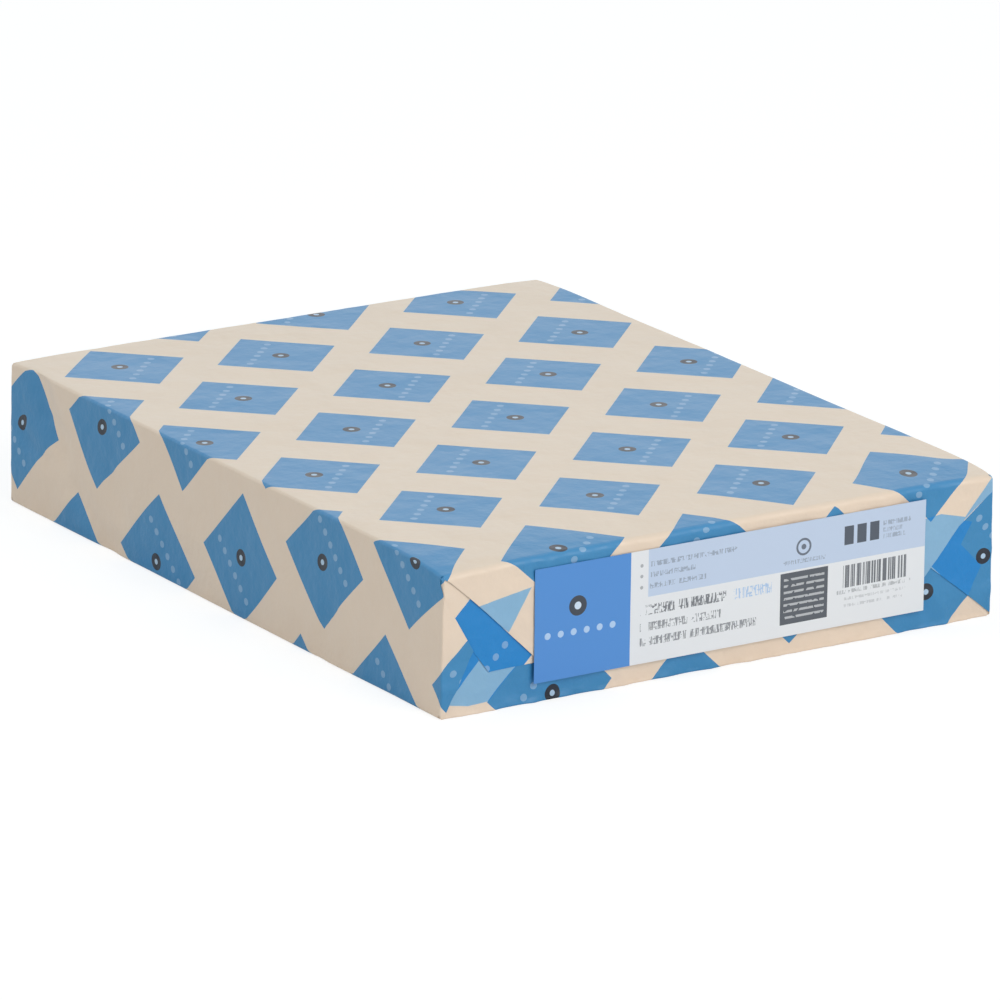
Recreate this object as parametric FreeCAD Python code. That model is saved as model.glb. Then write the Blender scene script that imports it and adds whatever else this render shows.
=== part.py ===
import FreeCAD, Part
import math
import os

from FreeCAD import Matrix, Vector

# A wrapped ream of letter paper with a glued end label. Millimetres.
# X runs across the ream, Y along it with the label end at -Y, Z up. The origin is the
# middle of the underside.

# The block of sheets and the wrapper round it.
sheet_width = 215.9
sheet_length = 279.4
stack_height = 50.2
ply = 0.25                  # one ply of the wrapper with the air under it
edge_radius = 1.5           # how round the wrapper turns over the edges of the stack
flap_reach = 36.0           # how far the end flaps and tucks reach from their own edges
seam_offset = 38.0          # the lengthwise glued lap, to the right of the underside's middle

# The label, glued over the folds of the front end.
label_width = 153.0
label_height = 38.3
label_thickness = 0.3
label_lift = 6.1            # the label's lower edge above the underside
label_shift = 3.2           # the label's middle, to the right of the ream's middle

# The print on the wrapper: plain squares in rows, each row half a step along.
square_side = 33.6
square_step = 54.45         # from square to square along a row
row_step = 47.15            # from row to row
print_turn = 45.4           # degrees between the rows and the ream's width
print_shift_x = 3.5         # the square nearest to the middle of the top
print_shift_y = -5.7
edge_slack = 1.3            # wrapper taken up at each long edge beyond the flat sizes
ink = 0.12                  # how deep the printed fields lie in the surface

# The print on the label, measured from the label's lower left corner.
panel_width = 37.2          # the blue panel at the left end
band_start = 44.0           # the pale band along the top
band_height = 15.9
strip_start = 41.5          # strips in place of lines of text
strip_rows = ((6.6, 2.6, 45.0), (11.9, 2.4, 31.0), (17.3, 3.0, 33.0))    # lift, height, length
band_strip_start = 45.5
band_strip_rows = ((25.6, 1.2, 22.0), (29.3, 1.2, 18.0), (33.0, 1.2, 34.0))
block_start = 95.5          # the dark square block
block_side = 18.2
block_lift = 3.6
bar_start = 120.5           # the field of upright bars
bar_height = 9.0
bar_lift = 11.4
bar_widths = (1.2, 0.6, 0.6, 1.8, 0.6, 1.2, 0.6, 1.8, 1.2, 0.6, 0.6, 1.2, 1.8, 0.6, 1.2)
bar_gap = 0.65
tab_count = 3               # upright tabs on the band
tab_start = 120.5
tab_width = 4.0
tab_step = 5.3
tab_height = 7.2
tab_lift = 26.8

width = sheet_width + 2 * ply
height = stack_height + 2 * ply
end_build = 3 * ply         # lower flap, tuck and upper flap, from the sheets outwards
length = sheet_length + 2 * end_build + label_thickness
back = length / 2
front = -length / 2         # the label's face
front_fold = front + label_thickness
tip = height - flap_reach   # the height at which the upper flap ends
turn_over = edge_radius * (1 - math.sqrt(0.5))     # where a rounded edge changes panels
margin = 5.0                # how far cutting shapes stand clear of what they cut
print_depth = 2 * ply + 2 * ink
smallest_field = 5.0        # square millimetres, below which a cut-off corner of print is left out


def prism(points, direction):
    """A closed flat outline pushed along a vector."""
    corners = [Vector(*p) for p in points]
    return Part.Face(Part.makePolygon(corners + corners[:1])).extrude(Vector(*direction))


def box(low, high):
    """A box between its lowest and highest corners."""
    return Part.makeBox(high[0] - low[0], high[1] - low[1], high[2] - low[2], Vector(*low))


def rounded_block(inset):
    """The ream's outer block with its edges turned over, or the same block set in a little."""
    low = (-width / 2 + inset, front_fold + inset, inset)
    high = (width / 2 - inset, back - inset, height - inset)
    block = box(low, high)
    return block.makeFillet(edge_radius - inset, block.Edges)


def upper_flap():
    """The upper flap's outline on an end, as x and z: its sides are folded at 45 degrees."""
    return [
        (-width / 2 - margin, height + margin),
        (width / 2 + margin, height + margin),
        (width / 2 - flap_reach, tip),
        (-width / 2 + flap_reach, tip),
    ]


def tuck(side):
    """A side tuck's outline: it lies over the lower flap, and the upper flap covers its top."""
    edge = side * width / 2
    return [
        (edge + side * margin, -margin),
        (edge - side * tip, tip),
        (edge - side * flap_reach, tip),
        (edge - side * flap_reach, height + margin),
        (edge + side * margin, height + margin),
    ]


def pack(inset):
    """The wrapped ream as one solid with the plies of its folds, set in by the given depth."""
    body = rounded_block(inset)
    for plane, inwards in ((front_fold, 1), (back, -1)):
        outside = plane - inwards * margin
        covers = [upper_flap()]
        for level in (1, 2):
            depth = plane + inwards * (level * ply + inset)
            cut_back = box(
                (-width, min(outside, depth), -margin),
                (width, max(outside, depth), height + margin),
            )
            for outline in covers:
                through = (0, 2 * inwards * margin, 0)
                cover = prism([(x, outside - inwards, z) for x, z in outline], through)
                cut_back = cut_back.cut(cover)
            body = body.cut(cut_back)
            covers += [tuck(-1), tuck(1)]
    under_lap = box((seam_offset, 2 * front, -margin), (width, 2 * back, ply + inset))
    return body.cut(under_lap)


def square_faces(low, high):
    """The printed squares that reach a stretch of the flat sheet, as faces on it."""
    turn = math.radians(print_turn)
    along = Vector(-math.cos(turn), -math.sin(turn), 0)
    across = Vector(math.sin(turn), -math.cos(turn), 0)
    half = square_side / 2
    reach = square_side * math.sqrt(0.5)
    count = int((width + height + sheet_length) / row_step) + 1
    faces = []
    for row in range(-count, count + 1):
        for place in range(-count, count + 1):
            centre = Vector(print_shift_x, print_shift_y, 0)
            centre += across * (row * row_step) + along * ((place + row / 2) * square_step)
            if not low[0] - reach < centre.x < high[0] + reach:
                continue
            if not low[1] - reach < centre.y < high[1] + reach:
                continue
            corners = []
            for a, b in ((1, 1), (1, -1), (-1, -1), (-1, 1)):
                corners.append(centre + along * (half * a) + across * (half * b))
            faces.append(Part.Face(Part.makePolygon(corners + corners[:1])))
    return faces


def panel_print(outline, u_axis, v_axis, origin):
    """Prisms of the squares on one panel of the folded wrapper.

    The outline is the panel's corners on the ream. The axes and the origin say where the
    flat sheet's own axes and origin come to lie there.
    """
    u_axis = Vector(*u_axis)
    v_axis = Vector(*v_axis)
    origin = Vector(*origin)
    outwards = u_axis.cross(v_axis)
    corners = []
    for point in outline:
        offset = Vector(*point) - origin
        corners.append(Vector(offset.dot(u_axis), offset.dot(v_axis), 0))
    us = [c.x for c in corners]
    vs = [c.y for c in corners]
    panel = Part.Face(Part.makePolygon(corners + corners[:1]))
    place = Matrix(
        u_axis.x, v_axis.x, outwards.x, origin.x,
        u_axis.y, v_axis.y, outwards.y, origin.y,
        u_axis.z, v_axis.z, outwards.z, origin.z,
        0, 0, 0, 1,
    )
    prisms = []
    for square in square_faces((min(us), min(vs)), (max(us), max(vs))):
        for face in square.common(panel).Faces:
            if face.Area < smallest_field:
                continue
            face.translate(Vector(0, 0, -print_depth))
            field = face.extrude(Vector(0, 0, print_depth + margin))
            field.Placement = FreeCAD.Placement(place).multiply(field.Placement)
            prisms.append(field)
    return prisms


def long_panels():
    """The print on the top, the long sides and the underside."""
    x = width / 2 - turn_over
    y0 = front_fold + turn_over
    y1 = back - turn_over
    z0 = turn_over
    z1 = height - turn_over
    side = width / 2 + edge_slack           # the sheet's own x at the top of a side
    under = side + height + edge_slack      # and at the edge of the underside
    top = [(-x, y0, height), (x, y0, height), (x, y1, height), (-x, y1, height)]
    panels = [panel_print(top, (1, 0, 0), (0, 1, 0), (0, 0, height))]
    for hand in (-1, 1):
        edge = hand * width / 2
        wall = [(edge, y0, z0), (edge, y1, z0), (edge, y1, z1), (edge, y0, z1)]
        panels.append(panel_print(wall, (0, 0, -hand), (0, 1, 0), (edge, 0, height + side)))
        base = [(seam_offset, y0, 0), (hand * x, y0, 0), (hand * x, y1, 0), (seam_offset, y1, 0)]
        panels.append(panel_print(base, (-1, 0, 0), (0, 1, 0), (edge + hand * under, 0, 0)))
    return panels


def end_panels(plane, out):
    """The print on the folds of one end, which faces along -Y or +Y."""
    side = width / 2 + edge_slack
    under = side + height + edge_slack
    x = width / 2 - turn_over
    z0 = turn_over
    z1 = height - turn_over
    x_tip = width / 2 - flap_reach
    upper = [(-x, plane, z1), (x, plane, z1), (x_tip, plane, tip), (-x_tip, plane, tip)]
    panels = [panel_print(upper, (1, 0, 0), (0, 0, -out), (0, plane, height + out * plane))]
    for hand in (-1, 1):
        edge = hand * width / 2
        fold = [
            (hand * x, plane, z0),
            (hand * x, plane, z1),
            (hand * x_tip, plane, tip),
            (edge - hand * tip, plane, tip),
        ]
        origin = (edge + hand * out * plane, plane, height + side)
        panels.append(panel_print(fold, (0, 0, -hand), (-hand * out, 0, 0), origin))
        lower = [
            (seam_offset, plane, z0),
            (hand * x, plane, z0),
            (edge - hand * tip, plane, tip),
            (seam_offset, plane, tip),
        ]
        origin = (edge + hand * under, plane, -out * plane)
        panels.append(panel_print(lower, (-1, 0, 0), (0, 0, out), origin))
    return panels


def printed_squares():
    """The squares as thin fields in the wrapper's surface, flush with it.

    They leave out the ream's eight corners, where the wrapper is pinched.
    """
    x = width / 2 - edge_radius
    pinched = []
    for x0 in (-x - margin, x):
        for y0 in (front_fold + edge_radius - margin, back - edge_radius):
            for z0 in (edge_radius - margin, height - edge_radius):
                pinched.append(box((x0, y0, z0), (x0 + margin, y0 + margin, z0 + margin)))
    skin = pack(0.0).cut(pack(ink)).cut(pinched)
    panels = long_panels() + end_panels(front_fold, -1) + end_panels(back, 1)
    fields = [skin.common(Part.makeCompound(prisms)) for prisms in panels if prisms]
    return fields[0].fuse(fields[1:]).removeSplitter()


def on_label(across, lift, wide, tall, depth):
    """A plate or field of the label, from its place across and above the lower left corner."""
    x = label_shift - label_width / 2 + across
    z = label_lift + lift
    return box((x, front, z), (x + wide, front + depth, z + tall))


def label_dark_print():
    """Strips, block, tabs and bars in place of the label's dark text."""
    fields = [on_label(block_start, block_lift, block_side, block_side, ink)]
    for start, rows in ((strip_start, strip_rows), (band_strip_start, band_strip_rows)):
        for lift, tall, wide in rows:
            fields.append(on_label(start, lift, wide, tall, ink))
    for index in range(tab_count):
        start = tab_start + index * tab_step
        fields.append(on_label(start, tab_lift, tab_width, tab_height, ink))
    start = bar_start
    for wide in bar_widths:
        fields.append(on_label(start, bar_lift, wide, bar_height, ink))
        start += wide + bar_gap
    return Part.makeCompound(fields)


def build_parts():
    """Every node of the ream, with the printed fields let into what carries them."""
    squares = printed_squares()
    panel = on_label(0, 0, panel_width, label_height, ink)
    band = on_label(band_start, label_height - band_height, label_width - band_start, band_height, ink)
    dark = label_dark_print()
    label = on_label(0, 0, label_width, label_height, label_thickness)
    return {
        "wrapped_ream": pack(0.0).cut(squares).removeSplitter(),
        "printed_squares": squares,
        "end_label": label.cut([panel, band, dark]),
        "label_blue_panel": panel,
        "label_pale_band": band.cut(dark),
        "label_dark_print": dark,
    }


os.makedirs("parts", exist_ok=True)
for name, shape in build_parts().items():
    shape.exportStep("parts/" + name + ".step")
    print(name, "solids", len(shape.Solids), "volume", round(shape.Volume, 1))
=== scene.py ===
import math

import bpy
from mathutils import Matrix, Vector, noise


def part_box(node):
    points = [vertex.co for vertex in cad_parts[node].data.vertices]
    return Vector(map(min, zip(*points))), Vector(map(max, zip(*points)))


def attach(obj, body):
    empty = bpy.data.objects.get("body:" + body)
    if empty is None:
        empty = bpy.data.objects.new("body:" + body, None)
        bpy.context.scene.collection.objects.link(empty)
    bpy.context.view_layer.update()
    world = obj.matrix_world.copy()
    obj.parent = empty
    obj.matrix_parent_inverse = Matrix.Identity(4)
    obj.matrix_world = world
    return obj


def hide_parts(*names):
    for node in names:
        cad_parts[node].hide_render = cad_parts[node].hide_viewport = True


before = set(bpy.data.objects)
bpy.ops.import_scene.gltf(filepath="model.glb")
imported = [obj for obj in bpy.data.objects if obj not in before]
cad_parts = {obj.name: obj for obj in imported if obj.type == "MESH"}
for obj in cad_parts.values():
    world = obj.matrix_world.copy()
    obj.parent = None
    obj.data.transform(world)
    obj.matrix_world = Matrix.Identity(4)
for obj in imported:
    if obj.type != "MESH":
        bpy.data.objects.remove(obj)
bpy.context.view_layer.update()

# The wrapper's body: one sheet of printed paper wound round the stack of sheets, from the
# glued lap on the underside up one long side, over the top and down the other. It is laid
# flat, scored at its folds, and wound on. Its flat coordinates carry the print.
ream_low, ream_high = (Vector(corner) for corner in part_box("wrapped_ream"))
HALF_WIDTH = ream_high.x
HEIGHT = ream_high.z
FRONT = ream_low.y
BACK = ream_high.y
EDGE_RADIUS = 0.0012
EDGE_SLACK = 0.0013         # paper taken up at each long edge
PAPER_THICKNESS = 0.00012
SEAM = 0.038                # the outer end of the lap, on the underside
LAP = 0.014
BODY_STEP = 0.0026          # the grain of its mesh
CUT_THRESHOLD = 0.00001
SCORE_COUNT = 5             # folds scored close together where the paper turns over an edge
END_RADIUS = 0.0022


def flat_sheet(name, low, high, step):
    """A flat grid of paper between two corners of its own plane."""
    bpy.ops.object.select_all(action="DESELECT")
    across, along = high[0] - low[0], high[1] - low[1]
    bpy.ops.mesh.primitive_grid_add(
        x_subdivisions=max(1, round(across / step)),
        y_subdivisions=max(1, round(along / step)),
        size=1,
        calc_uvs=False,
        location=(low[0] + across / 2, low[1] + along / 2, 0),
    )
    piece = bpy.context.object
    piece.name = name
    piece.scale = (across, along, 1)
    bpy.ops.object.transform_apply(location=True, rotation=True, scale=True)
    return piece


def cut(piece, point, normal, clear=False):
    """A straight fold line scored across the flat paper, or the paper beyond it cut away."""
    bpy.ops.object.mode_set(mode="EDIT")
    bpy.ops.mesh.select_all(action="SELECT")
    across = Vector((*normal, 0)).normalized()
    bpy.ops.mesh.bisect(
        plane_co=(*point, 0),
        plane_no=across,
        threshold=CUT_THRESHOLD,
        clear_outer=clear,
    )
    bpy.ops.object.mode_set(mode="OBJECT")


def keep_flat(piece, name, place=None):
    """Keeps the flat coordinates, or others worked out from them, as a map on the piece."""
    layer = piece.data.uv_layers.new(name=name)
    points = [vertex.co.xy for vertex in piece.data.vertices]
    if place:
        points = [place(*point) for point in points]
    for loop in piece.data.loops:
        layer.uv[loop.index].vector = points[loop.vertex_index]


def wound(u, v):
    """Where a point of the flat sheet lies once the sheet is wound round the stack."""
    side = math.copysign(1, u)
    first = HALF_WIDTH - EDGE_RADIUS
    turn = 2 * EDGE_RADIUS + EDGE_SLACK
    wall = HEIGHT - 2 * EDGE_RADIUS
    run = abs(u)
    if run <= first:
        return Vector((u, v, HEIGHT))
    if run <= first + turn:
        angle = (run - first) / turn * math.pi / 2
        x = first + EDGE_RADIUS * math.sin(angle)
        return Vector((side * x, v, HEIGHT - EDGE_RADIUS * (1 - math.cos(angle))))
    if run <= first + turn + wall:
        return Vector((side * HALF_WIDTH, v, HEIGHT - EDGE_RADIUS - (run - first - turn)))
    if run <= first + 2 * turn + wall:
        angle = (run - first - turn - wall) / turn * math.pi / 2
        x = first + EDGE_RADIUS * math.cos(angle)
        return Vector((side * x, v, EDGE_RADIUS * (1 - math.sin(angle))))
    lift = 0 if side < 0 else 2 * PAPER_THICKNESS
    return Vector((side * (first - (run - first - 2 * turn - wall)), v, lift))


def eased(share):
    """A share from 0 to 1 that starts and ends gently."""
    share = min(max(share, 0.0), 1.0)
    return share * share * (3 - 2 * share)


def to_crease(point, start, end):
    """How far a point of a face lies from a straight crease on it."""
    run = Vector(end) - Vector(start)
    share = min(max((Vector(point) - Vector(start)).dot(run) / run.length_squared, 0.0), 1.0)
    return (Vector(point) - Vector(start) - share * run).length


FRONT_SAG = 0.0011          # how far the top sags all along the front edge
CORNER_SAG = 0.0007         # and at each corner of it
LEFT_SAG = 0.0014           # and at the front's left corner
CORNER_PINCH = 0.0006       # how far the ends draw the sides in at the top
FACE_FADE = 0.003           # how soon the waves of a face die out beyond its edge
WAVE_DEPTH = 0.00028
CRINKLE_DEPTH = 0.0007      # of the ends' paper
LOW_CRINKLE = 0.0012        # and how much more near the foot
# Creases of the left side, as the distance from the back and the height of both ends, with
# their depth and half their width.
SIDE_CREASES = (
    ((0.016, 0.052), (0.037, 0.026), 0.0018, 0.0060),
    ((0.007, 0.034), (0.026, 0.036), 0.0007, 0.0022),
    ((0.008, 0.027), (0.026, 0.021), 0.0008, 0.0025),
    ((0.046, 0.016), (0.068, 0.001), 0.0012, 0.0050),
    ((0.068, 0.030), (0.076, 0.018), 0.0009, 0.0040),
    ((0.205, 0.002), (0.214, 0.018), 0.0008, 0.0035),
)


def softened(point):
    """A point of the wrapper moved as slack paper moves: sagging edges and shallow waves."""
    from_front = max(point.y - FRONT, 0.0)
    from_back = max(BACK - point.y, 0.0)
    from_end = min(from_front, from_back)
    from_side = max(HALF_WIDTH - abs(point.x), 0.0)
    from_left = HALF_WIDTH + point.x
    top = (point.z / HEIGHT) ** 2
    sag = FRONT_SAG * math.exp(-from_front / 0.010)
    sag += CORNER_SAG * math.exp(-from_end / 0.008 - from_side / 0.012)
    sag += LEFT_SAG * math.exp(-from_front / 0.022 - from_left / 0.026)
    moved = point.copy()
    moved.z -= sag * top
    moved.x -= math.copysign(CORNER_PINCH, point.x) * math.exp(-from_end / 0.008) * top
    wave = noise.noise(point * 22.0) + 0.5 * noise.noise(point * 60.0 + Vector((3.1, 0.0, 7.7)))
    inwards = WAVE_DEPTH * (wave + 1.1)
    on_side = math.exp(-from_side / FACE_FADE)
    if point.x < 0:
        for start, end, depth, reach in SIDE_CREASES:
            away = to_crease((from_back, point.z), start, end) / reach
            inwards += depth * math.exp(-away * away) * on_side
    moved.x -= math.copysign(inwards, point.x) * on_side
    crinkle = abs(noise.noise(point * 70.0 + Vector((5.3, 1.9, 2.2))))
    crinkle += 0.5 * abs(noise.noise(point * 150.0 + Vector((0.7, 4.1, 8.6))))
    crinkle *= CRINKLE_DEPTH + LOW_CRINKLE * math.exp(-point.z / 0.012)
    moved.y += math.copysign(0.5 * inwards + crinkle, -point.y) * math.exp(-from_end / FACE_FADE)
    moved.z -= 0.35 * inwards * math.exp(-(HEIGHT - point.z) / FACE_FADE)
    return moved


def fold(piece, place):
    """Lays each point of a flat piece where the fold puts it."""
    for vertex in piece.data.vertices:
        vertex.co = softened(place(vertex.co.x, vertex.co.y))


def give_thickness(piece, thickness):
    """Turns a folded sheet into paper of its real thickness, smooth but for its creases."""
    bpy.ops.object.select_all(action="DESELECT")
    piece.select_set(True)
    bpy.context.view_layer.objects.active = piece
    solidify = piece.modifiers.new("thickness", "SOLIDIFY")
    solidify.thickness = thickness
    solidify.offset = -1
    bpy.ops.object.modifier_apply(modifier=solidify.name)
    bpy.ops.object.shade_smooth_by_angle(angle=math.radians(50))


under_edge = HALF_WIDTH + 2 * EDGE_SLACK + HEIGHT
side_edge = HALF_WIDTH + EDGE_SLACK / 2
left_end = -(under_edge + HALF_WIDTH + SEAM)
right_end = under_edge + HALF_WIDTH - SEAM + LAP

# How far the real print lies from its even lattice where the wrapper was pulled askew.
LEFT_PULL = -0.0026
RIGHT_PULL = (0.0007, 0.0047)
UNDER_PULL = (0.0014, -0.0010)
FLAP_PULL = (0.0027, 0.0018)
FLAP_DROOP = 0.0035         # more of it on the front flap's right part
FAR_PULL = 0.0055           # towards the far end of the left side
WAVER = 0.0007              # how unevenly the sides' print lies


def droop(u):
    """How much further the front flap's print was drawn down, to the right."""
    return FLAP_DROOP * eased((u - 0.045) / 0.03)


def pulled(u, v):
    """The print's own coordinates at a point of the body's sheet."""
    waver = WAVER * eased((abs(u) - side_edge) / 0.01)
    u += waver * noise.noise(Vector((u * 35, v * 35, 2.0)))
    v += waver * noise.noise(Vector((u * 35, v * 35, 9.0)))
    near_front = eased(1 - (v - FRONT) / 0.09)
    over = eased(1 - (v - FRONT) / 0.035) * eased((side_edge - abs(u)) / 0.01)
    u, v = u + FLAP_PULL[0] * over, v + (FLAP_PULL[1] + droop(u)) * over
    if u > 0:
        share = near_front * eased((u - side_edge) / 0.025)
        return u + RIGHT_PULL[0] * share, v + RIGHT_PULL[1] * share
    share = eased((-u - side_edge) / 0.03)
    beneath = near_front * eased((-u - under_edge) / 0.01)
    v += LEFT_PULL * share - FAR_PULL * share * eased(v / 0.135)
    return u + UNDER_PULL[0] * beneath, v + UNDER_PULL[1] * beneath


body = flat_sheet(
    "wrapper_body",
    (left_end, FRONT + END_RADIUS),
    (right_end, BACK - END_RADIUS),
    BODY_STEP,
)
turn_starts = (HALF_WIDTH - EDGE_RADIUS, HALF_WIDTH + EDGE_SLACK + HEIGHT - EDGE_RADIUS)
for side in (-1, 1):
    for start in turn_starts:
        for index in range(SCORE_COUNT + 1):
            u = start + (2 * EDGE_RADIUS + EDGE_SLACK) * index / SCORE_COUNT
            cut(body, (side * u, 0), (1, 0))
keep_flat(body, "sheet", pulled)
keep_flat(body, "beneath", lambda u, v: (0.0, 0.0))
fold(body, wound)
give_thickness(body, PAPER_THICKNESS)

# The wrapper's paper: a warm cream sheet printed with plain blue squares in staggered rows,
# with a plain dark ring in each square and a row of small pale dots beside it, on the other
# side in every second row. Where printed paper lies beneath, its blue shows through.


class Value:
    """A number or colour that varies over a surface, with the maths that materials use."""

    def __init__(self, tree, socket=None):
        self.tree = tree
        self.socket = socket

    def node(self, kind, settings, sockets, output=0):
        """A new node of the same material, with its settings first and then its sockets."""
        made = self.tree.nodes.new(kind)
        for key, value in settings.items():
            setattr(made, key, value)
        for key, value in sockets.items():
            if isinstance(value, Value):
                self.tree.links.new(value.socket, made.inputs[key])
            else:
                made.inputs[key].default_value = value
        return Value(self.tree, made.outputs[output])

    def math(self, operation, *others):
        values = dict(enumerate((self, *others)))
        return self.node("ShaderNodeMath", {"operation": operation}, values)

    def __add__(self, other):
        return self.math("ADD", other)

    def __sub__(self, other):
        return self.math("SUBTRACT", other)

    def __rsub__(self, other):
        return self * -1.0 + other

    def __mul__(self, other):
        return self.math("MULTIPLY", other)

    __radd__ = __add__
    __rmul__ = __mul__

    def __lt__(self, other):
        return self.math("LESS_THAN", other)

    def __gt__(self, other):
        return self.math("GREATER_THAN", other)

    def near(self, middle, reach):
        """One where this number is within reach of the middle, and zero elsewhere."""
        return self.math("COMPARE", middle, reach)

    def either(self, other):
        return self.math("MAXIMUM", other)

    def mix(self, base, over):
        """This number as the share of one colour laid over another."""
        return self.node("ShaderNodeMix", {"data_type": "RGBA"}, {0: self, 6: base, 7: over}, 2)

    def along(self, name, part):
        """One coordinate of a map on the piece."""
        place = self.node("ShaderNodeUVMap", {"uv_map": name}, {})
        return place.node("ShaderNodeSeparateXYZ", {}, {0: place}, part)

    def noise(self, scale, detail=2.0):
        """Even noise through the piece, from 0 to 1."""
        place = self.node("ShaderNodeTexCoord", {}, {}, 3)
        sockets = {"Vector": place, "Scale": scale, "Detail": detail}
        return place.node("ShaderNodeTexNoise", {}, sockets)

    def grain(self, other):
        """Noise over a plane that this number and another span."""
        place = self.node("ShaderNodeCombineXYZ", {}, {0: self, 1: other})
        return place.node("ShaderNodeTexNoise", {}, {"Vector": place, "Scale": 1.0, "Detail": 1.0})


CREAM = (0.82, 0.680, 0.550, 1)
PRINT_BLUE = (0.034, 0.228, 0.475, 1)
CREAM_OVER_BLUE = (0.235, 0.445, 0.650, 1)
BLUE_OVER_BLUE = (0.006, 0.220, 0.580, 1)
CREAM_BLOTCH = (0.70, 0.535, 0.405, 1)
BLUE_BLOTCH = (0.062, 0.27, 0.515, 1)
MARK_DARK = (0.010, 0.014, 0.025, 1)
MARK_PALE = (0.42, 0.58, 0.75, 1)
SQUARE_SIDE = 0.0336
SQUARE_STEP = 0.05445
ROW_STEP = 0.04715
PRINT_TURN = math.radians(45.4)
PRINT_START = (0.0035, -0.0057)
MARK_SHIFT = -0.0016        # the ring lies a little off the middle of its square
MARK_RADIUS = 0.0030
MARK_EYE = 0.0010
DOT_SHIFT = 0.0062
DOT_STEP = 0.0050
DOT_RADIUS = 0.00125
DOT_REACH = 3 * DOT_STEP
DOT_SHARE = 0.42            # how much of the dots' pale ink covers the blue
PAPER_ROUGHNESS = 0.40
RELIEF_DEPTH = 0.0008
RELIEF_STRENGTH = 0.6


def printed_paper(name):
    """The wrapper's printed paper."""
    material = bpy.data.materials.new(name)
    material.use_nodes = True
    tree = material.node_tree
    start = Value(tree)
    across = start.along("sheet", 0) - PRINT_START[0]
    along = start.along("sheet", 1) - PRINT_START[1]
    in_row = across * -math.cos(PRINT_TURN) + along * -math.sin(PRINT_TURN)
    over_rows = across * math.sin(PRINT_TURN) + along * -math.cos(PRINT_TURN)
    row = (over_rows * (1 / ROW_STEP)).math("ROUND")
    over_rows = over_rows - row * ROW_STEP
    place = in_row * (1 / SQUARE_STEP) - row * 0.5
    in_row = (place - place.math("ROUND")) * SQUARE_STEP
    hand = (row * 0.5).math("FRACT") * 4.0 - 1.0
    blue = in_row.near(0.0, SQUARE_SIDE / 2) * over_rows.near(0.0, SQUARE_SIDE / 2)

    beneath = start.along("beneath", 0)
    blotch = start.noise(55.0, 4.0)
    cream = (blotch * 0.35).mix(CREAM, CREAM_BLOTCH)
    cream = beneath.mix(cream, CREAM_OVER_BLUE)
    ink = (blotch * 0.5).mix(PRINT_BLUE, BLUE_BLOTCH)
    ink = beneath.mix(ink, BLUE_OVER_BLUE)
    colour = blue.mix(cream, ink)

    handed = over_rows * hand
    dot = in_row * (1 / DOT_STEP) - 0.5
    dot_along = (dot - dot.math("ROUND")) * DOT_STEP
    dot_across = handed - DOT_SHIFT
    from_dot = (dot_along * dot_along + dot_across * dot_across).math("SQRT")
    dots = (from_dot < DOT_RADIUS) * in_row.near(0.0, DOT_REACH)
    colour = (dots * DOT_SHARE).mix(colour, MARK_PALE)
    ring_across = handed - MARK_SHIFT
    from_mark = (in_row * in_row + ring_across * ring_across).math("SQRT")
    colour = (from_mark < MARK_RADIUS).mix(colour, MARK_DARK)
    colour = (from_mark < MARK_EYE).mix(colour, MARK_PALE)

    shader = tree.nodes["Principled BSDF"]
    shader.inputs["Roughness"].default_value = PAPER_ROUGHNESS
    tree.links.new(colour.socket, shader.inputs["Base Color"])
    relief = start.noise(28.0, 3.0) * 3.5 + start.noise(85.0, 5.0) * 2.4
    relief = relief + start.noise(1500.0, 2.0) * 0.06
    sockets = {"Strength": RELIEF_STRENGTH, "Distance": RELIEF_DEPTH, "Height": relief}
    bump = start.node("ShaderNodeBump", {}, sockets)
    tree.links.new(bump.socket, shader.inputs["Normal"])
    return material


wrapper_paper = printed_paper("wrapper_paper")
body.data.materials.append(wrapper_paper)
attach(body, "root")
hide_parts("wrapped_ream", "printed_squares")

# The folds of the ends, like an envelope's: the lower flap goes up first, the side tucks come
# in over it, and the upper flap comes down over all and is glued. Where a flap turns at a
# corner its side is a fold at 45 degrees, not a cut edge. Outlines are in millimetres from
# the end's left and lower edges, as the label end is seen.
PLY_STEP = 0.0012
SHARP_RADIUS = 0.0007       # of the fold at each edge but the top one
LOWER_DEPTH = 0.0010
TUCK_DEPTH = 0.0006
GUSSET_DEPTH = 0.0008
PLEAT_DEPTH = 0.00020
ROOT_SCORES = 4
ROOT_RAMP = 0.005           # how soon a ply comes to its own depth beyond its edge
TUCK_SQUARE = (0.0110, 0.0172)      # the middle of the square on the front's left tuck
GUSSET_SHIFT = 0.009        # how far to the right the gusset carries that print on
PAST_LAP = 0.0028           # how far the lap sets the lower flap's print apart


def in_metres(outline):
    return [(x / 1000 - HALF_WIDTH, z / 1000) for x, z in outline]


def inside(x, z, outline):
    """Whether a point lies in an outline whose corners run clockwise."""
    for (x0, z0), (x1, z1) in zip(outline, outline[1:] + outline[:1]):
        if (x1 - x0) * (z - z0) - (z1 - z0) * (x - x0) > 0:
            return False
    return True


def turned(beyond, radius):
    """How far in and down a sheet lies that turns over an edge, at a flat distance beyond it."""
    if beyond < -radius:
        return -beyond, 0.0
    if beyond > radius:
        return 0.0, beyond
    angle = (beyond + radius) / (2 * radius) * math.pi / 2
    return radius * (1 - math.sin(angle)), radius * (1 - math.cos(angle))


def rounded(away, radius):
    """How far a face falls back at a rounded edge, at a distance from that edge."""
    within = min(max(radius - away, 0.0), radius)
    return radius - math.sqrt(radius ** 2 - within ** 2)


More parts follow.
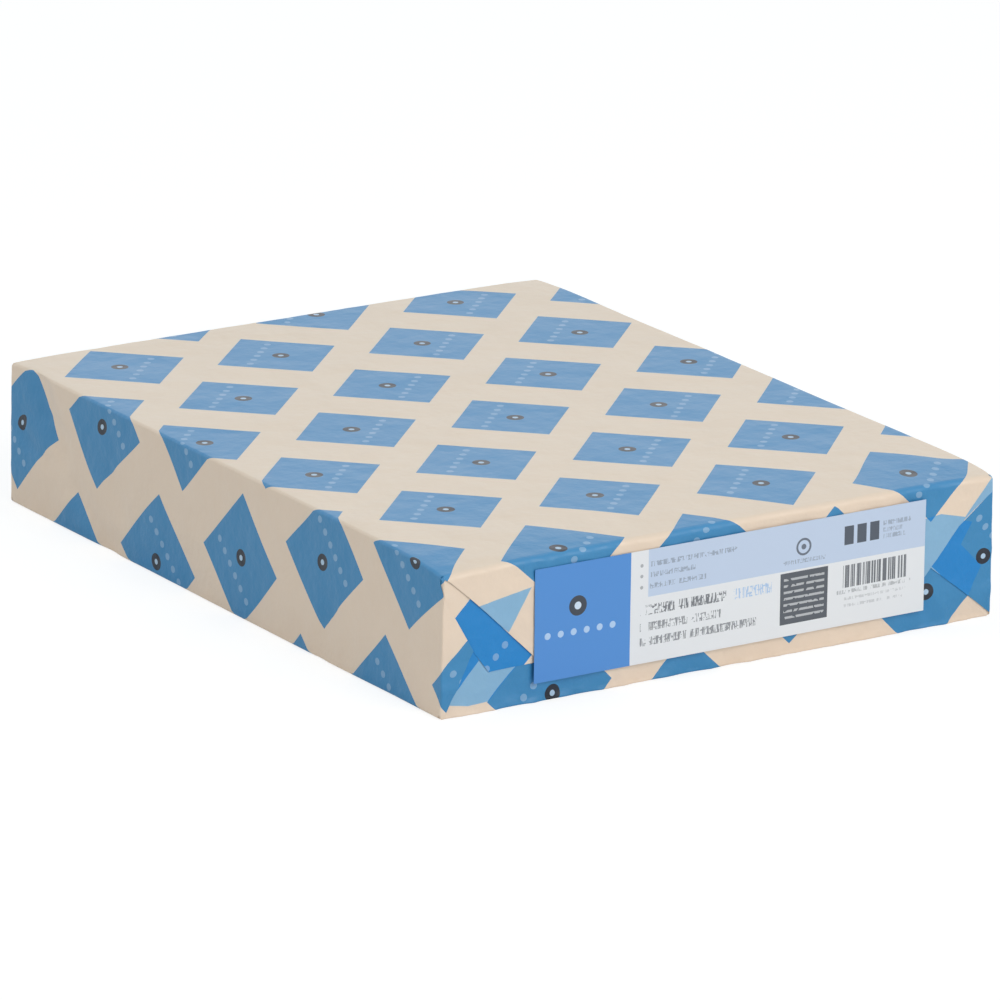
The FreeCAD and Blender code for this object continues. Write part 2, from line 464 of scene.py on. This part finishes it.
def ply(name, out, root, depth, outline, over_blue=(), sunk=0.0, print_place=None):
    """One ply of an end that faces along -Y or +Y, from the edge where it is rooted.

    The parts of it that lie over print get the blue of that print. Sunk is how far its root
    already lies under another ply's.
    """
    plane = FRONT if out < 0 else BACK
    outline = in_metres(outline)
    shades = [in_metres(shade) for shade in over_blue]
    low = [min(corner[axis] for corner in outline) for axis in range(2)]
    high = [max(corner[axis] for corner in outline) for axis in range(2)]
    piece = flat_sheet(name, low, high, PLY_STEP)
    for (x0, z0), (x1, z1) in zip(outline, outline[1:] + outline[:1]):
        cut(piece, (x0, z0), (z0 - z1, x1 - x0), clear=True)
    for shade in shades:
        for (x0, z0), (x1, z1) in zip(shade, shade[1:] + shade[:1]):
            cut(piece, (x0, z0), (z0 - z1, x1 - x0))

    radius = END_RADIUS if root == "top" else SHARP_RADIUS
    for index in range(ROOT_SCORES + 1):
        score = radius * (2 * index / ROOT_SCORES - 1)
        cut(piece, *{
            "top": ((0, HEIGHT - score), (0, 1)),
            "bottom": ((0, score), (0, 1)),
            "left": ((score - HALF_WIDTH, 0), (1, 0)),
            "right": ((HALF_WIDTH - score, 0), (1, 0)),
        }[root])

    def beyond_root(x, z):
        edges = {"top": HEIGHT - z, "bottom": z, "left": HALF_WIDTH + x, "right": HALF_WIDTH - x}
        return edges[root]

    def place(x, z):
        beyond = beyond_root(x, z)
        inwards, drop = turned(beyond, radius)
        drop += sunk
        near_root = eased(1 - (beyond + END_RADIUS) / ROOT_RAMP)
        if root in ("top", "bottom"):
            from_side = HALF_WIDTH - abs(x)
            inwards = max(inwards, rounded(from_side, SHARP_RADIUS))
            drop += rounded(from_side, EDGE_RADIUS) * near_root
            z = HEIGHT - drop if root == "top" else drop
        else:
            inwards = max(inwards, rounded(z, SHARP_RADIUS), rounded(HEIGHT - z, END_RADIUS))
            drop += rounded(min(z, HEIGHT - z), EDGE_RADIUS) * near_root
            x = HALF_WIDTH - drop if root == "right" else drop - HALF_WIDTH
        inwards += depth + (sunk - depth) * near_root
        return Vector((x, plane - out * inwards, z))

    def sheet_place(x, z):
        """The print's coordinates, carried on over the edge from the wrapper's body."""
        v = plane + out * beyond_root(x, z)
        if print_place:
            return print_place(x, z, v)
        wall = HALF_WIDTH + EDGE_SLACK + HEIGHT - z
        return pulled(*{
            "top": (x, v),
            "bottom": (-(under_edge + HALF_WIDTH + x), v),
            "left": (-wall, v),
            "right": (wall, v),
        }[root])

    keep_flat(piece, "sheet", sheet_place)
    layer = piece.data.uv_layers.new(name="beneath")
    for face in piece.data.polygons:
        over = any(inside(face.center.x, face.center.y, shade) for shade in shades)
        for index in face.loop_indices:
            layer.uv[index].vector = (1.0 if over else 0.0, 0.0)
    fold(piece, place)
    if out > 0:
        piece.data.flip_normals()
    give_thickness(piece, PAPER_THICKNESS)
    return piece


def on_left_tuck(x, z, v):
    """The print's coordinates on the front's left tuck, which a pleat draws upwards."""
    in_row = SQUARE_STEP / 2
    u0 = PRINT_START[0] + math.sin(PRINT_TURN) * ROW_STEP - math.cos(PRINT_TURN) * in_row
    v0 = PRINT_START[1] - math.cos(PRINT_TURN) * ROW_STEP - math.sin(PRINT_TURN) * in_row
    return u0 + x - (TUCK_SQUARE[0] - HALF_WIDTH), v0 + z - TUCK_SQUARE[1]


def on_lower(x, z, v):
    """The print's coordinates on the front's lower flap, where the lap sets them apart."""
    past_lap = PAST_LAP * eased((x + 0.01) / 0.05)
    u, v = pulled(-(under_edge + HALF_WIDTH + x), v)
    return u + past_lap, v - 0.25 * past_lap


def joined(name, pieces):
    """The plies of one end as one piece of the wrapper."""
    bpy.ops.object.select_all(action="DESELECT")
    for piece in pieces:
        piece.select_set(True)
    bpy.context.view_layer.objects.active = pieces[0]
    bpy.ops.object.join()
    folds = bpy.context.object
    folds.name = name
    folds.data.materials.append(wrapper_paper)
    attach(folds, "root")
    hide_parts("wrapped_ream", "printed_squares")
    return folds


WIDE = 2000 * HALF_WIDTH
TALL = 1000 * HEIGHT
ROLL = 1000 * END_RADIUS
joined("front_folds", [
    ply("front_upper", -1, "top", 0.0,
        [(0, TALL + ROLL), (WIDE, TALL + ROLL), (WIDE, TALL + 0.5), (189, 18.5), (179, 10),
         (41.3, 10), (0, TALL + 0.5)],
        [[(13, 37.2), (33.5, 40.6), (25.5, 26)],
         [(185, 38.6), (195, 39.7), (208, 36.4), (208, 34), (189, 15), (185, 15)]]),
    ply("front_left_pleat", -1, "left", PLEAT_DEPTH,
        [(-ROLL, 47.5), (12.2, 21.8), (2.0, 1.0), (1.5, 0), (-ROLL, 0)]),
    ply("front_left_tuck", -1, "left", TUCK_DEPTH,
        [(-ROLL, TALL), (40, 44), (40, 14), (18, 13.5), (-ROLL, 41)],
        [[(-12.8, 17.2), (11, 41), (34.8, 17.2), (11, -6.6)]],
        sunk=0.0003, print_place=on_left_tuck),
    ply("front_left_gusset", -1, "left", GUSSET_DEPTH,
        [(-ROLL, 38), (12.5, 21), (14.2, 18), (4, 7), (-ROLL, 2)],
        [[(-ROLL, -ROLL), (-ROLL, TALL), (20, TALL), (20, -ROLL)]],
        sunk=0.0005, print_place=lambda x, z, v: on_left_tuck(x - GUSSET_SHIFT, z, v)),
    ply("front_right_tuck", -1, "right", TUCK_DEPTH,
        [(170, 44), (WIDE + ROLL, TALL), (WIDE + ROLL, 0), (WIDE + 1.4, 0), (170, 38.0)],
        [[(184, 17), (203.5, 36), (208, 34.8), (203.5, 27.5), (195, 14)],
         [(184, 16), (184, 30), (195, 36), (212, 18.5), (206, 7)],
         [(196, 29.2), (196, 52), (219, 52), (219, 46.8)]]),
    ply("front_lower", -1, "bottom", LOWER_DEPTH,
        [(11, 22), (206, 22), (WIDE - 1, 9), (WIDE, 1), (WIDE, -ROLL), (0, -ROLL), (0.5, 1.0)],
        [[(4, 4.2), (6, 20), (16, 20), (29.2, 13.8), (18.8, 3.4), (11, 3)]],
        print_place=on_lower),
])
joined("back_folds", [
    ply("back_upper", 1, "top", 0.0,
        [(0, TALL + ROLL), (WIDE, TALL + ROLL), (WIDE, TALL + 0.5), (WIDE - 36, 14.7), (36, 14.7),
         (0, TALL + 0.5)]),
    ply("back_left_tuck", 1, "left", TUCK_DEPTH,
        [(-ROLL, TALL), (42, 44), (42, 42), (0, 0), (-ROLL, 0)]),
    ply("back_right_tuck", 1, "right", TUCK_DEPTH,
        [(WIDE - 42, 44), (WIDE + ROLL, TALL), (WIDE + ROLL, 0), (WIDE, 0), (WIDE - 42, 42)]),
    ply("back_lower", 1, "bottom", LOWER_DEPTH,
        [(26, 26), (WIDE - 26, 26), (WIDE, 0), (WIDE, -ROLL), (0, -ROLL), (0, 0)]),
])

# The end label: a smooth white paper label, glued over the front folds. A blue panel fills its
# left end and a pale band runs along its top. Broken strokes that spell nothing, bars, tabs and
# a ring stand where a label carries its particulars.
label_low, label_high = (Vector(corner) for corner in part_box("end_label"))
LABEL_RAISE = 0.0008        # how much higher the label is laid here than in the CAD model
LABEL_SIZE = (label_high.x - label_low.x, label_high.z - label_low.z)
LABEL_STEP = 0.0015
LABEL_WHITE = (0.78, 0.80, 0.83, 1)
LABEL_BLUE = (0.080, 0.270, 0.660, 1)
LABEL_BAND = (0.53, 0.63, 0.80, 1)
LABEL_DARK = (0.045, 0.055, 0.075, 1)
LABEL_WAVE = 0.00012        # how far its paper waves
label = flat_sheet("end_label_sheet", (0, 0), LABEL_SIZE, LABEL_STEP)
keep_flat(label, "label")
for vertex in label.data.vertices:
    across, lift = vertex.co.x, vertex.co.y
    wave = noise.noise(Vector((across * 30, lift * 45, 1.7)))
    depth = LABEL_WAVE * (1 + wave)
    vertex.co = label_low + Vector((across, depth, LABEL_RAISE + lift))
give_thickness(label, PAPER_THICKNESS)

# The label's print. A field is its left, low, right and high in millimetres on the label, and
# a round mark is its middle and its radii. Each line of strokes also has the share of its ink.
PANEL_FIELD = (0, 0, 36.8, 38.3)
BAND_FIELD = (43.6, 22.3, 153.0, 38.3)
PALE_STROKES_FIELD = (77.0, 16.0, 92.0, 19.6)
BARS_FIELD = (120.3, 12.9, 145.6, 20.6)
BLOCK_FIELD = (95.4, 4.0, 114.2, 21.6)
BLOCK_LINES_FIELD = (96.8, 5.2, 112.8, 20.6)
BLOCK_LINE_STEP = 2.15
EMBLEM = (16.5, 23.8, 3.4, 1.3)
BEAD_FIELD = (2.5, 13.0, 32.5, 17.5)
BEAD_STEP = 5.0
BEAD_LIFT = 15.2
BEAD_RADIUS = 1.15
RING = (104.4, 29.7, 2.6, 0.95)
RING_WIDTH = 0.76
POINT_RADIUS = 0.6
TAB = (120.5, 27.6, 3.7, 6.4)       # left, low, width and height of the first
TAB_STEP = 5.1
PANEL_PALE = (0.62, 0.74, 0.88, 1)
BEAD_PALE = (0.55, 0.72, 0.92, 1)
STROKE_PALE = (0.40, 0.56, 0.80, 1)
LABEL_ROUGHNESS = 0.34
STROKE_LINES = (
    (40.6, 16.2, 74.0, 19.6, 0.80), (40.6, 10.8, 72.0, 13.6, 0.68), (40.6, 5.8, 86.0, 8.6, 0.68),
    (44.2, 32.4, 78.0, 34.1, 0.42), (44.2, 28.8, 61.8, 30.5, 0.42), (44.2, 25.0, 66.0, 26.7, 0.42),
    (96.5, 24.3, 113.0, 25.7, 0.42), (117.8, 10.9, 147.4, 12.2, 0.42),
    (136.0, 32.0, 147.0, 33.6, 0.38), (136.0, 29.7, 144.0, 31.2, 0.38),
    (136.0, 27.5, 145.0, 29.0, 0.38), (120.6, 8.6, 145.4, 9.6, 0.26),
    (120.6, 6.2, 144.4, 7.2, 0.26),
)


def label_paper():
    """The label's smooth paper with its plain printed fields."""
    material = bpy.data.materials.new("label_paper")
    material.use_nodes = True
    tree = material.node_tree
    start = Value(tree)
    across = start.along("label", 0) * 1000.0
    lift = start.along("label", 1) * 1000.0

    def field(left, low, right, high):
        """One inside a rectangle, in millimetres on the label, and zero outside it."""
        in_width = across.near((left + right) / 2, (right - left) / 2)
        return in_width * lift.near((low + high) / 2, (high - low) / 2)

    def from_point(x, z):
        return ((across - x) * (across - x) + (lift - z) * (lift - z)).math("SQRT")

    strokes = (across * 2.0).grain(lift * 0.20) > 0.53
    strokes = strokes.either((across * 0.65 + 40.0).grain(lift * 1.25) > 0.60)
    strokes = strokes * ((across * 0.33 + 80.0).grain(lift * 0.03) > 0.36)

    colour = field(*PANEL_FIELD).mix(LABEL_WHITE, LABEL_BLUE)
    colour = field(*BAND_FIELD).mix(colour, LABEL_BAND)
    emblem = from_point(*EMBLEM[:2])
    colour = (emblem < EMBLEM[2]).mix(colour, LABEL_DARK)
    colour = (emblem < EMBLEM[3]).mix(colour, PANEL_PALE)
    bead = (across - BEAD_STEP) * (1 / BEAD_STEP)
    bead_across = (bead - bead.math("ROUND")) * BEAD_STEP
    bead_lift = lift - BEAD_LIFT
    from_bead = (bead_across * bead_across + bead_lift * bead_lift).math("SQRT")
    beads = (from_bead < BEAD_RADIUS) * field(*BEAD_FIELD)
    colour = (beads * 0.75).mix(colour, BEAD_PALE)
    colour = (strokes * field(*PALE_STROKES_FIELD)).mix(colour, STROKE_PALE)

    ring = from_point(*RING[:2])
    ink = (ring.near(RING[2], RING_WIDTH / 2) * 0.8).either((ring < RING[3]) * 0.8)
    for left, low, right, high, share in STROKE_LINES:
        ink = ink.either(field(left, low, right, high) * strokes * share)
    for z in (33.2, 29.6, 25.8):
        ink = ink.either((from_point(41.0, z) < POINT_RADIUS) * 0.5)
    for index in range(3):
        left = TAB[0] + index * TAB_STEP
        ink = ink.either(field(left, TAB[1], left + TAB[2], TAB[1] + TAB[3]) * 0.92)
    bars = (across * 0.85 + 120.0).grain(0.0) > 0.47
    bars = bars * ((across * 2.6 + 160.0).grain(0.0) > 0.42)
    ink = ink.either(bars * field(*BARS_FIELD) * 0.85)
    ink = ink.either(field(*BLOCK_FIELD) * 0.93)
    colour = ink.mix(colour, LABEL_DARK)
    line = (lift - 12.8) * (1 / BLOCK_LINE_STEP)
    pale_lines = (line - line.math("ROUND")).near(0.0, 0.19) * field(*BLOCK_LINES_FIELD)
    pale_lines = pale_lines * ((across * 0.5 + 200.0).grain(lift * 0.47) > 0.42)
    colour = (pale_lines * 0.55).mix(colour, LABEL_WHITE)

    shader = tree.nodes["Principled BSDF"]
    shader.inputs["Roughness"].default_value = LABEL_ROUGHNESS
    tree.links.new(colour.socket, shader.inputs["Base Color"])
    return material


label.data.materials.append(label_paper())
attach(label, "root")
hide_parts("end_label", "label_blue_panel", "label_pale_band", "label_dark_print")

# The floor and the light: a pale sweep, a broad soft light in front and above, and a white
# background that the camera and reflections see.
FLOOR_SIZE = 12.0
FLOOR_DROP = 0.0001         # keeps it out of the plane of the paper
FLOOR_COLOUR = (0.92, 0.92, 0.92, 1)
FLOOR_ROUGHNESS = 0.9
FLOOR_GLOW = 1.15           # the white that the camera sees mixed into the floor
FLOOR_GLOW_SHARE = 0.7
FILL_COLOUR = (1.0, 0.98, 0.95, 1)
FILL_STRENGTH = 0.4
BACKGROUND_STRENGTH = 1.3
WHITE = (1, 1, 1, 1)
bpy.ops.object.select_all(action="DESELECT")
bpy.ops.mesh.primitive_plane_add(size=FLOOR_SIZE, location=(0, 0, ream_low.z - FLOOR_DROP))
floor = bpy.context.object
floor.name = "floor"
floor_material = bpy.data.materials.new("floor")
floor_material.use_nodes = True
floor_tree = floor_material.node_tree
floor_shader = floor_tree.nodes["Principled BSDF"]
floor_shader.inputs["Base Color"].default_value = FLOOR_COLOUR
floor_shader.inputs["Roughness"].default_value = FLOOR_ROUGHNESS
floor.data.materials.append(floor_material)
start = Value(floor_tree)
seen = start.node("ShaderNodeLightPath", {}, {}, "Is Camera Ray")
glow = start.node("ShaderNodeEmission", {}, {"Color": WHITE, "Strength": FLOOR_GLOW})
lit = Value(floor_tree, floor_shader.outputs[0])
both = start.node("ShaderNodeMixShader", {}, {0: seen * FLOOR_GLOW_SHARE, 1: lit, 2: glow})
floor_tree.links.new(both.socket, floor_tree.nodes["Material Output"].inputs["Surface"])

world = bpy.data.worlds.new("studio")
bpy.context.scene.world = world
world.use_nodes = True
world_tree = world.node_tree
start = Value(world_tree)
path = start.node("ShaderNodeLightPath", {}, {}, "Is Camera Ray")
glossy = start.node("ShaderNodeLightPath", {}, {}, "Is Glossy Ray")
through = start.node("ShaderNodeLightPath", {}, {}, "Is Transmission Ray")
plain = start.node("ShaderNodeBackground", {}, {"Color": FILL_COLOUR, "Strength": FILL_STRENGTH})
bright = start.node("ShaderNodeBackground", {}, {"Color": WHITE, "Strength": BACKGROUND_STRENGTH})
shown = path.either(glossy).either(through)
mixed = start.node("ShaderNodeMixShader", {}, {0: shown, 1: plain, 2: bright})
world_tree.links.new(mixed.socket, world_tree.nodes["World Output"].inputs["Surface"])


def soft_light(name, place, aim, size, power, colour):
    """A square soft light at a place, turned to face a point."""
    bpy.ops.object.light_add(type="AREA", location=place)
    light = bpy.context.object
    light.name = name
    light.data.size = size
    light.data.energy = power
    light.data.color = colour
    light.rotation_euler = (Vector(aim) - Vector(place)).to_track_quat("-Z", "Y").to_euler()


soft_light("front_light", (0.4, -2.2, 1.3), (0, 0, 0), 1.6, 30, (1.0, 0.97, 0.94))
soft_light("top_light", (-0.3, 0.3, 2.4), (0, 0, 0), 1.8, 14, (0.53, 0.84, 1.0))
soft_light("side_light", (-2.4, 0.5, 0.8), (0, 0, 0), 1.6, 8, (1.0, 0.92, 0.85))

# The camera stands low and far off to the left of the label end, with a long lens.
CAMERA_PLACE = (-1.4576, -2.2726, 0.8419)
CAMERA_TURN = (73.077, -0.622, -32.545)
CAMERA_LENS = 300.1
CAMERA_SENSOR = 36
bpy.ops.object.camera_add(location=CAMERA_PLACE)
camera = bpy.context.object
camera.rotation_euler = [math.radians(angle) for angle in CAMERA_TURN]
camera.data.lens = CAMERA_LENS
camera.data.sensor_width = CAMERA_SENSOR
bpy.context.scene.camera = camera
bpy.context.scene.view_settings.view_transform = "Standard"
